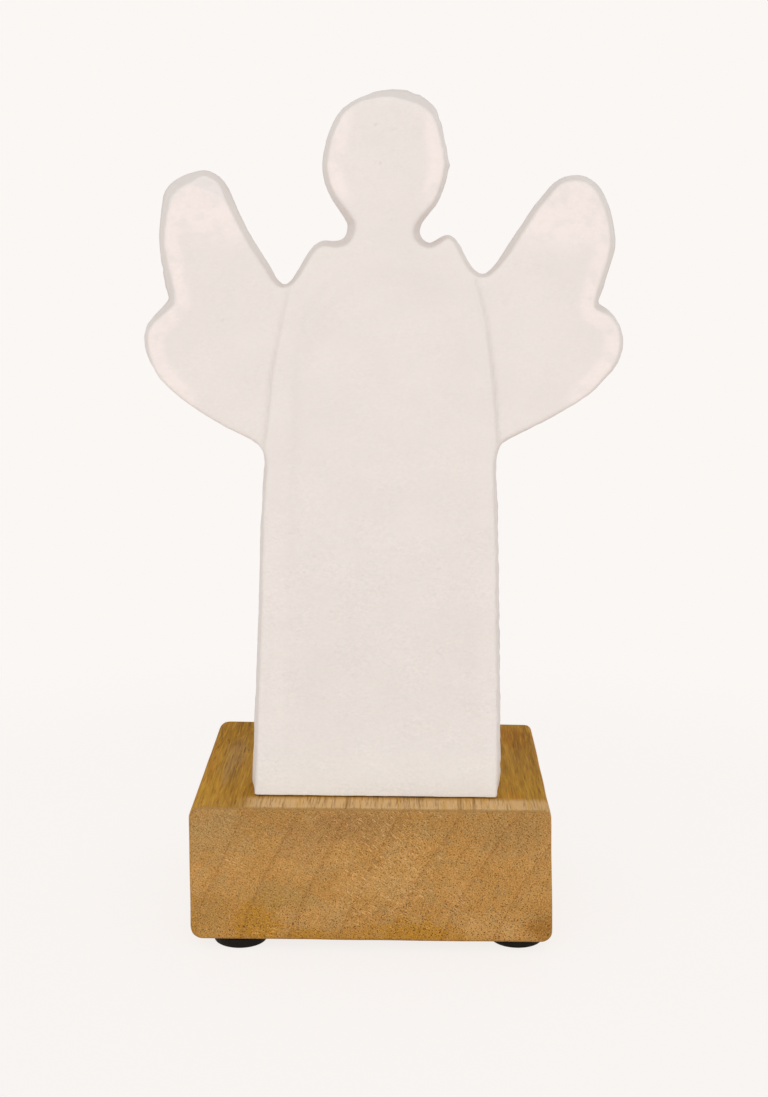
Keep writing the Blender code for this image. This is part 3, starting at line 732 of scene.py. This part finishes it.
def wood_pores(n, place):
    """Thin tubes along the grain: return dots for the ends, and broken dashes for the other faces."""
    x, _, z = n.split(place)
    sway_x = n.noise(n.scaled(place, (10.0, 30.0, 10.0)), detail=2)
    sway_z = n.noise(n.scaled(place, (10.0, 30.0, 10.0), shift=(4, 4, 4)), detail=2)
    pore_x = n.math("DIVIDE", n.math("ADD", x, n.math("MULTIPLY", sway_x, PORE_SWAY)), PORE_SPACING)
    pore_z = n.math("DIVIDE", n.math("ADD", z, n.math("MULTIPLY", sway_z, PORE_SWAY)), PORE_SPACING)
    size = n.noise(n.scaled(place, (1.3, 50.0, 1.3), shift=(7, 1, 3)), detail=1)
    gap = n.cells(n.join(pore_x, pore_z, 0.0), 1.0, "2D")
    gap = n.math("ADD", gap, n.ramp(size, 0.3, 0.7, 0.12, -0.08, linear=True))
    runs = n.noise(n.scaled(place, (1.4, 8.0, 1.4), shift=(1, 6, 2)), detail=2)
    dots = n.ramp(gap, 0.11, 0.21, 1.0, 0.0)
    dashes = n.math("MULTIPLY", n.ramp(gap, 0.10, 0.24, 1.0, 0.0), n.ramp(runs, 0.50, 0.60))
    return dots, dashes


def wood_rings(n, place):
    """Growth rings round the heart, below and to the right of the block: return main and fine ones."""
    x, _, z = n.split(place)
    radius = n.polar(x, z, HEART)[0]
    warp = n.noise(n.scaled(place, (30.0, 200.0, 30.0)), detail=2)
    ring = n.math("ADD", n.math("DIVIDE", radius, RING_SPACING), n.math("MULTIPLY", warp, 0.45))
    fine = n.math("POWER", n.math("FRACT", n.math("MULTIPLY", ring, FINE_RINGS)), 5.0)
    return n.math("POWER", n.math("FRACT", ring), 14.0), fine


def wood_rays(n, place, ragged):
    """Rays that cross the rings: return pale flecks, and a fine hatch that lightens and darkens."""
    x, y, z = n.split(place)
    away, angle = n.polar(x, z, RAY_TARGET)
    turn = n.math("MULTIPLY", angle, RAYS_PER_RADIAN)
    ray_place = n.join(turn, n.math("DIVIDE", y, RAY_DEPTH), n.math("DIVIDE", away, RAY_LENGTH))
    ray_noise = n.noise(ray_place, detail=0)
    pick = n.noise(n.scaled(place, (10.0, 50.0, 10.0), shift=(2, 1, 4)), detail=1)
    middle = patch(n, place, ragged, (2, 0, 26), (17, 900, 22))
    where = n.math("MAXIMUM", n.ramp(pick, 0.56, 0.70), middle)
    flecks = n.math("MULTIPLY", n.ramp(ray_noise, 0.63, 0.74), where)
    return flecks, n.ramp(ray_noise, 0.30, 0.70, 0.94, 1.07)


def end_grain(n, place, broad, crumb, ragged, dots):
    """Return the colour of the block's ends: stains, rings, rays and the dots of the pores."""
    x, _, z = n.split(place)
    ring, fine_ring = wood_rings(n, place)
    flecks, hatch = wood_rays(n, place, ragged)
    mottle = n.noise(n.scaled(place, (0.5, 8.0, 0.5)), detail=3, roughness=0.7)
    haze = n.noise(n.scaled(place, (5.0, 60.0, 3.6), shift=(8, 3, 1)), detail=3, roughness=0.6)
    colour = n.mix(n.ramp(broad, 0.32, 0.68), END_DARK, END_LIGHT)
    colour = n.mix(n.ramp(z, 30 * MM, 37 * MM, 0.0, 0.55), colour, END_TOP)
    colour = n.mix(n.ramp(haze, 0.48, 0.66, 0.0, 0.45), colour, HAZE)
    for where, size, share, tint in END_PATCHES:
        mask = patch(n, place, ragged, (where[0], 0, where[1]), (size[0], 900, size[1]))
        colour = n.mix(n.math("MULTIPLY", mask, share), colour, tint)
    colour = n.mix(n.math("MULTIPLY", ring, 0.45), colour, RING)
    colour = n.mix(n.math("MULTIPLY", fine_ring, 0.16), colour, FINE_RING)
    colour = n.mix(n.ramp(mottle, 0.50, 0.70, 0.0, 0.64), colour, MOTTLE_LIGHT)
    colour = n.mix(n.ramp(mottle, 0.48, 0.28, 0.0, 0.56), colour, MOTTLE_DARK)
    colour = n.mix(n.ramp(crumb, 0.52, 0.68, 0.0, 0.30), colour, CRUMB_GREEN)
    colour = n.mix(n.ramp(crumb, 0.48, 0.32, 0.0, 0.30), colour, CRUMB_RUST)
    colour = n.mix(n.math("MULTIPLY", flecks, 0.46), colour, RAY)
    grit = n.noise(n.scaled(place, (0.34, 4.0, 0.34)), detail=1)
    grit = n.math("MULTIPLY", n.ramp(grit, 0.3, 0.7, 0.81, 1.19), hatch)
    colour = n.mix(1.0, colour, n.join(grit, grit, grit), "MULTIPLY")
    dot_share = n.ramp(x, -45 * MM, 30 * MM, 0.38, 0.58)
    dot_share = n.math("ADD", dot_share, n.ramp(z, 20 * MM, 7 * MM, 0.0, 0.28))
    return n.mix(n.math("MULTIPLY", dots, dot_share), colour, END_PORE)


def long_grain(n, place, broad, fibre, ragged, dashes, up):
    """Return the colour of the top and sides: streaks along Y, a pale strip of painted light in front and
    broken pores.
    """
    x, y, z = n.split(place)
    colour = n.mix(n.ramp(broad, 0.30, 0.70), LONG_DARK, LONG_LIGHT)
    for where, size, share, tint in TOP_PATCHES:
        mask = patch(n, place, ragged, (where[0], where[1], 42), (size[0], size[1], 900))
        colour = n.mix(n.math("MULTIPLY", mask, share), colour, tint)
    # Painted light: a paler strip on the top in front of the figure.
    light_strip = n.math("MULTIPLY", n.ramp(y, -29.5 * MM, -34 * MM), n.ramp(z, 38 * MM, 41.5 * MM))
    light_strip = n.math("MULTIPLY", light_strip, n.ramp(x, -41 * MM, -32 * MM, 0.05, 1.0))
    light_strip = n.math("MULTIPLY", light_strip, n.ramp(x, 48 * MM, 30 * MM, 0.70, 1.0))
    colour = n.mix(n.math("MULTIPLY", light_strip, 0.85), colour, FRONT_STRIP_LIGHT)
    bands = n.noise(n.scaled(place, (2.1, 45.0, 2.1), shift=(5, 0, 9)), detail=3, roughness=0.6)
    colour = n.mix(n.ramp(bands, 0.52, 0.68, 0.0, 0.55), colour, BAND_LIGHT)
    colour = n.mix(n.ramp(bands, 0.48, 0.32, 0.0, 0.60), colour, BAND_DARK)
    colour = n.mix(n.ramp(fibre, 0.50, 0.70, 0.0, 0.50), colour, FIBRE_LIGHT)
    colour = n.mix(n.ramp(fibre, 0.50, 0.30, 0.0, 0.65), colour, FIBRE_DARK)
    colour = n.mix(n.math("MULTIPLY", n.ramp(up, 0.75, 0.45), 0.50), colour, SIDE_TINT)
    dash_share = n.math("SUBTRACT", 0.55, n.math("MULTIPLY", light_strip, 0.22))
    return n.mix(n.math("MULTIPLY", dashes, dash_share), colour, LONG_PORE)


def wood_material():
    """Mango-like wood with its grain along Y: pores and rays on the ends, streaks on the top and sides."""
    n = Nodes("mango_wood")
    place = n.place()
    normal = n.split(n.add("ShaderNodeNewGeometry").outputs["Normal"])
    fibre = n.noise(n.scaled(place, (0.5, 10.0, 0.5)), detail=3, roughness=0.6)
    broad = n.noise(n.scaled(place, (12.0, 80.0, 10.0)), detail=3)
    crumb = n.noise(n.scaled(place, (0.75, 30.0, 0.75), shift=(9, 2, 5)), detail=2, roughness=0.6)
    ragged = n.noise(n.scaled(place, (3.2, 30.0, 2.6)), detail=3, roughness=0.6)
    ragged = n.ramp(ragged, 0.25, 0.75, -0.50, 0.50, linear=True)
    ragged = n.math("ADD", ragged, n.ramp(crumb, 0.25, 0.75, -0.42, 0.42, linear=True))
    dots, dashes = wood_pores(n, place)
    ends = end_grain(n, place, broad, crumb, ragged, dots)
    others = long_grain(n, place, broad, fibre, ragged, dashes, normal[2])
    colour = n.mix(n.ramp(n.math("ABSOLUTE", normal[1]), 0.55, 0.80), others, ends)
    # A darker, duller tint along the bends between the block's ends and its top and bottom.
    end_edge = n.math("MULTIPLY", n.math("ABSOLUTE", normal[1]), n.math("ABSOLUTE", normal[2]))
    colour = n.mix(n.ramp(end_edge, 0.15, 0.45, 0.0, 0.60), colour, END_EDGE_TINT)
    n.plug(n.shader.inputs["Base Color"], colour)
    n.plug(n.shader.inputs["Roughness"], n.ramp(fibre, 0.3, 0.7, 0.68, 0.84))
    n.shader.inputs["Specular IOR Level"].default_value = 0.04
    height = n.math("SUBTRACT", n.math("MULTIPLY", fibre, 0.5), n.math("MAXIMUM", dots, dashes))
    n.plug(n.shader.inputs["Normal"], n.bump(height, 0.14 * MM, 0.8))
    return n.material


def build_block(material):
    """The wooden block: finely meshed, with softly sanded edges and faces that aren't quite flat."""
    piece = fine_copy("wooden_block", "mango_block")
    mesh = piece.data
    points = relax(read_points(mesh), edge_pairs(mesh))
    write_points(mesh, points)
    normals = read_normals(mesh)
    wave = noise_at(points, 14 * MM, 5) * BLOCK_WAVE
    write_points(mesh, keep_inside(points + normals * wave[:, None], "wooden_block"))
    smooth_shade(mesh)
    mesh.materials.append(material)
    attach(piece, "root")
    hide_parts("wooden_block")


def grid_mesh(name, rings):
    """Join rings of points into a closed mesh, capped at both ends."""
    bm = bmesh.new()
    loops = [[bm.verts.new(p) for p in ring] for ring in rings]
    for first, second in zip(loops, loops[1:]):
        for i in range(len(first)):
            j = (i + 1) % len(first)
            bm.faces.new((first[i], first[j], second[j], second[i]))
    bm.faces.new(loops[0])
    bm.faces.new(loops[-1])
    bmesh.ops.recalc_face_normals(bm, faces=bm.faces)
    mesh = bpy.data.meshes.new(name)
    bm.to_mesh(mesh)
    bm.free()
    return mesh


def circle(middle, radius, z, segments):
    angles = [2 * math.pi * i / segments for i in range(segments)]
    return [(middle[0] + radius * math.cos(a), middle[1] + radius * math.sin(a), z) for a in angles]


def pad_material():
    """Near-black rubber with a fine moulded grain."""
    n = Nodes("black_pad")
    place = n.place()
    grain = n.noise(n.scaled(place, (0.6, 0.6, 0.6)), detail=3)
    dust = n.noise(n.scaled(place, (4.0, 4.0, 2.0)), detail=2)
    colour = n.mix(n.ramp(grain, 0.35, 0.65), PAD_BLACK, PAD_WORN)
    colour = n.mix(n.ramp(dust, 0.50, 0.75, 0.0, 0.15), colour, PAD_DUST)
    n.plug(n.shader.inputs["Base Color"], colour)
    n.plug(n.shader.inputs["Roughness"], n.ramp(grain, 0.3, 0.7, 0.50, 0.70))
    n.shader.inputs["Specular IOR Level"].default_value = 0.15
    n.plug(n.shader.inputs["Normal"], n.bump(grain, 0.06 * MM, 0.6))
    return n.material


def build_pad(name, material):
    """A round pad with rounded edges, top and bottom."""
    low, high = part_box("foot_pad_" + name)
    middle = ((low.x + high.x) / 2, (low.y + high.y) / 2)
    radius = (high.x - low.x) / 2
    height = high.z - low.z
    lower = [((radius - PAD_EDGE) * share, 0.0) for share in PAD_FLAT_SHARES]
    for i in range(PAD_EDGE_STEPS + 1):
        turn = math.pi / 2 * i / PAD_EDGE_STEPS
        lower.append((radius - PAD_EDGE * (1 - math.sin(turn)), PAD_EDGE * (1 - math.cos(turn))))
    steps = range(1, PAD_WALL_STEPS)
    wall = [(radius, PAD_EDGE + (height - 2 * PAD_EDGE) * i / PAD_WALL_STEPS) for i in steps]
    upper = [(across, height - up) for across, up in reversed(lower)]
    rings = [circle(middle, across, low.z + up, PAD_SEGMENTS) for across, up in lower + wall + upper]
    piece = bpy.data.objects.new("pad_" + name, grid_mesh("pad_" + name, rings))
    bpy.context.scene.collection.objects.link(piece)
    smooth_shade(piece.data, PAD_SHARP_ANGLE)
    piece.data.materials.append(material)
    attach(piece, "root")
    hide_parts("foot_pad_" + name)


def steel_material():
    """Zinc-plated steel with fine turning marks and a faint blotchy tarnish."""
    n = Nodes("screw_steel")
    place = n.place()
    marks = n.noise(n.scaled(place, (2.0, 2.0, 0.06)), detail=2)
    cloud = n.noise(n.scaled(place, (3.0, 3.0, 3.0)), detail=3)
    colour = n.mix(n.ramp(cloud, 0.35, 0.65), STEEL_DARK, STEEL_LIGHT)
    n.plug(n.shader.inputs["Base Color"], colour)
    n.shader.inputs["Metallic"].default_value = 1.0
    n.plug(n.shader.inputs["Roughness"], n.ramp(cloud, 0.3, 0.7, 0.26, 0.42))
    n.plug(n.shader.inputs["Normal"], n.bump(marks, 0.02 * MM, 0.5))
    return n.material


def hexagon(middle, width, z, segments):
    """Return a ring whose points lie on a hexagon of a width across its flats."""
    points = []
    for i in range(segments):
        angle = 2 * math.pi * i / segments
        flat = (angle + math.pi / 6) % (math.pi / 3) - math.pi / 6
        radius = width / 2 / math.cos(flat)
        points.append((middle[0] + radius * math.cos(angle), middle[1] + radius * math.sin(angle), z))
    return points


def screw_head(middle, face, seat, head_radius):
    """Return the rings from the socket's floor, out over the rounded head, to the shank's root."""
    rings = [hexagon(middle, SOCKET_WIDTH * share, face + SOCKET_DEPTH, SCREW_SEGMENTS)
             for share in (0.2, 0.6, 0.96)]
    rings += [hexagon(middle, SOCKET_WIDTH, face + SOCKET_DEPTH * share, SCREW_SEGMENTS)
              for share in (0.96, 0.6, 0.3, 0.06)]
    rings.append(circle(middle, SOCKET_WIDTH * 0.62, face, SCREW_SEGMENTS))
    for turn in range(0, 91, 9):
        angle = math.radians(turn)
        across = head_radius * (1 + math.sin(angle)) / 2
        height = face + (seat - face) * (1 - (1 + 2 * math.cos(angle)) / 3)
        if across > SOCKET_WIDTH * 0.68:
            rings.append(circle(middle, across, height, SCREW_SEGMENTS))
    rings.append(circle(middle, head_radius, seat - 0.12 * MM, SCREW_SEGMENTS))
    rings.append(circle(middle, head_radius - 0.08 * MM, seat, SCREW_SEGMENTS))
    rings.append(circle(middle, SCREW_SHANK_RADIUS + 0.15 * MM, seat, SCREW_SEGMENTS))
    return rings


def screw_thread(middle, start, end):
    """Return the shank's rings: a cut winds up round them, shallow at its start, and the tip tapers."""
    rings = []
    count = int((end - start) / THREAD_PITCH * THREAD_STEPS)
    for i in range(count + 1):
        z = start + (end - start) * i / count
        grow = min(1.0, (z - start) / THREAD_RUN_IN)
        taper = 1 - clamp((end - z) / SCREW_TIP_LENGTH, 0.0, 1.0)
        ring = []
        for k in range(SCREW_SEGMENTS):
            share = k / SCREW_SEGMENTS
            turn = ((z - start) / THREAD_PITCH - share) % 1.0
            cut = smooth(1.0 - abs(turn * 2 - 1) * 1.6)
            radius = SCREW_SHANK_RADIUS - THREAD_DEPTH * float(cut) * grow - taper * SCREW_TIP_TAPER
            angle = 2 * math.pi * share
            ring.append((middle[0] + radius * math.cos(angle), middle[1] + radius * math.sin(angle), z))
        rings.append(ring)
    return rings


def build_screw(side, material):
    """A pan-head screw, head down, with a hexagon socket and a cut thread."""
    node = "fixing_screw_" + side
    low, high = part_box(node)
    middle = ((low.x + high.x) / 2, (low.y + high.y) / 2)
    seat = low.z + SCREW_HEAD_HEIGHT
    rings = screw_head(middle, low.z, seat, (high.x - low.x) / 2)
    rings += screw_thread(middle, seat + THREAD_START, high.z)
    piece = bpy.data.objects.new("screw_" + side, grid_mesh("screw_" + side, rings))
    bpy.context.scene.collection.objects.link(piece)
    smooth_shade(piece.data, SCREW_SHARP_ANGLE)
    piece.data.materials.append(material)
    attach(piece, "root")
    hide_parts(node)


def place_camera():
    """Place the camera as fitted to the photograph."""
    camera_data = bpy.data.cameras.new("camera")
    camera_data.sensor_fit = "AUTO"
    camera_data.sensor_width = SENSOR
    camera_data.lens = FOCAL_PIXELS * SENSOR / PHOTO_HEIGHT
    camera_data.clip_start = 0.01
    camera_data.clip_end = 50
    camera = bpy.data.objects.new("camera", camera_data)
    bpy.context.scene.collection.objects.link(camera)
    turn = Matrix.Rotation(math.radians(-CAMERA_YAW), 3, "Z")
    turn = turn @ Matrix.Rotation(math.radians(90 - CAMERA_PITCH), 3, "X")
    turn = turn @ Matrix.Rotation(math.radians(-CAMERA_ROLL), 3, "Z")
    camera.matrix_world = Matrix.Translation(CAMERA_PLACE) @ turn.to_4x4()
    bpy.context.scene.camera = camera


def seen_directly(tree):
    """Return a socket that is 1 for camera, glossy and transmission rays."""
    path = tree.nodes.new("ShaderNodeLightPath")
    total = path.outputs["Is Camera Ray"]
    for name in ("Is Glossy Ray", "Is Transmission Ray"):
        node = tree.nodes.new("ShaderNodeMath")
        node.operation = "MAXIMUM"
        tree.links.new(total, node.inputs[0])
        tree.links.new(path.outputs[name], node.inputs[1])
        total = node.outputs[0]
    return total


def build_world():
    """The studio: a plain pale background, and an even light on everything."""
    world = bpy.data.worlds.new("studio")
    bpy.context.scene.world = world
    world.use_nodes = True
    tree = world.node_tree
    tree.nodes.clear()
    show = tree.nodes.new("ShaderNodeBackground")
    show.inputs["Color"].default_value = (*BACKGROUND, 1)
    light = tree.nodes.new("ShaderNodeBackground")
    light.inputs["Color"].default_value = (1, 1, 1, 1)
    light.inputs["Strength"].default_value = AMBIENT
    mix = tree.nodes.new("ShaderNodeMixShader")
    out = tree.nodes.new("ShaderNodeOutputWorld")
    tree.links.new(seen_directly(tree), mix.inputs[0])
    tree.links.new(light.outputs[0], mix.inputs[1])
    tree.links.new(show.outputs[0], mix.inputs[2])
    tree.links.new(mix.outputs[0], out.inputs[0])


def build_floor():
    """The floor: as pale as the background, and fading into it, with the object's shadow."""
    half = FLOOR_SIZE / 2
    mesh = bpy.data.meshes.new("floor")
    corners = [(-half, -half, -FLOOR_DROP), (half, -half, -FLOOR_DROP), (half, half, -FLOOR_DROP),
               (-half, half, -FLOOR_DROP)]
    mesh.from_pydata(corners, [], [(0, 1, 2, 3)])
    floor = bpy.data.objects.new("floor", mesh)
    bpy.context.scene.collection.objects.link(floor)
    n = Nodes("floor")
    tree = n.tree
    tree.nodes.remove(n.shader)
    out = next(node for node in tree.nodes if node.type == "OUTPUT_MATERIAL")
    x, y = n.split(n.place())[:2]
    away = n.math("SQRT", n.math("ADD", n.math("MULTIPLY", x, x), n.math("MULTIPLY", y, y)))
    catch = n.ramp(away, FLOOR_FADE_START, FLOOR_FADE_END, FLOOR_CATCH, 0.0)
    paper = n.add("ShaderNodeBsdfDiffuse")
    paper.inputs["Color"].default_value = (*BACKGROUND, 1)
    glow = n.add("ShaderNodeEmission")
    glow.inputs["Color"].default_value = (*BACKGROUND, 1)
    blend = n.add("ShaderNodeMixShader")
    tree.links.new(catch, blend.inputs[0])
    tree.links.new(glow.outputs[0], blend.inputs[1])
    tree.links.new(paper.outputs[0], blend.inputs[2])
    final = n.add("ShaderNodeMixShader")
    tree.links.new(seen_directly(tree), final.inputs[0])
    tree.links.new(paper.outputs[0], final.inputs[1])
    tree.links.new(blend.outputs[0], final.inputs[2])
    tree.links.new(final.outputs[0], out.inputs[0])
    mesh.materials.append(n.material)


def build_lamp(name, direction, strength, angle):
    data = bpy.data.lights.new(name, "SUN")
    data.energy = strength
    data.angle = math.radians(angle)
    lamp = bpy.data.objects.new(name, data)
    lamp.rotation_mode = "QUATERNION"
    lamp.rotation_quaternion = Vector(direction).to_track_quat("Z", "Y")
    bpy.context.scene.collection.objects.link(lamp)


bpy.context.scene.view_settings.view_transform = "Standard"
place_camera()
build_world()
build_floor()
build_lamp("key", KEY_FROM, KEY_STRENGTH, KEY_ANGLE)
build_lamp("fill", FILL_FROM, FILL_STRENGTH, FILL_ANGLE)
build_figure(coat_material())
build_block(wood_material())
pad_rubber = pad_material()
for pad_name in PAD_NAMES:
    build_pad(pad_name, pad_rubber)
steel = steel_material()
for screw_side in ("left", "right"):
    build_screw(screw_side, steel)
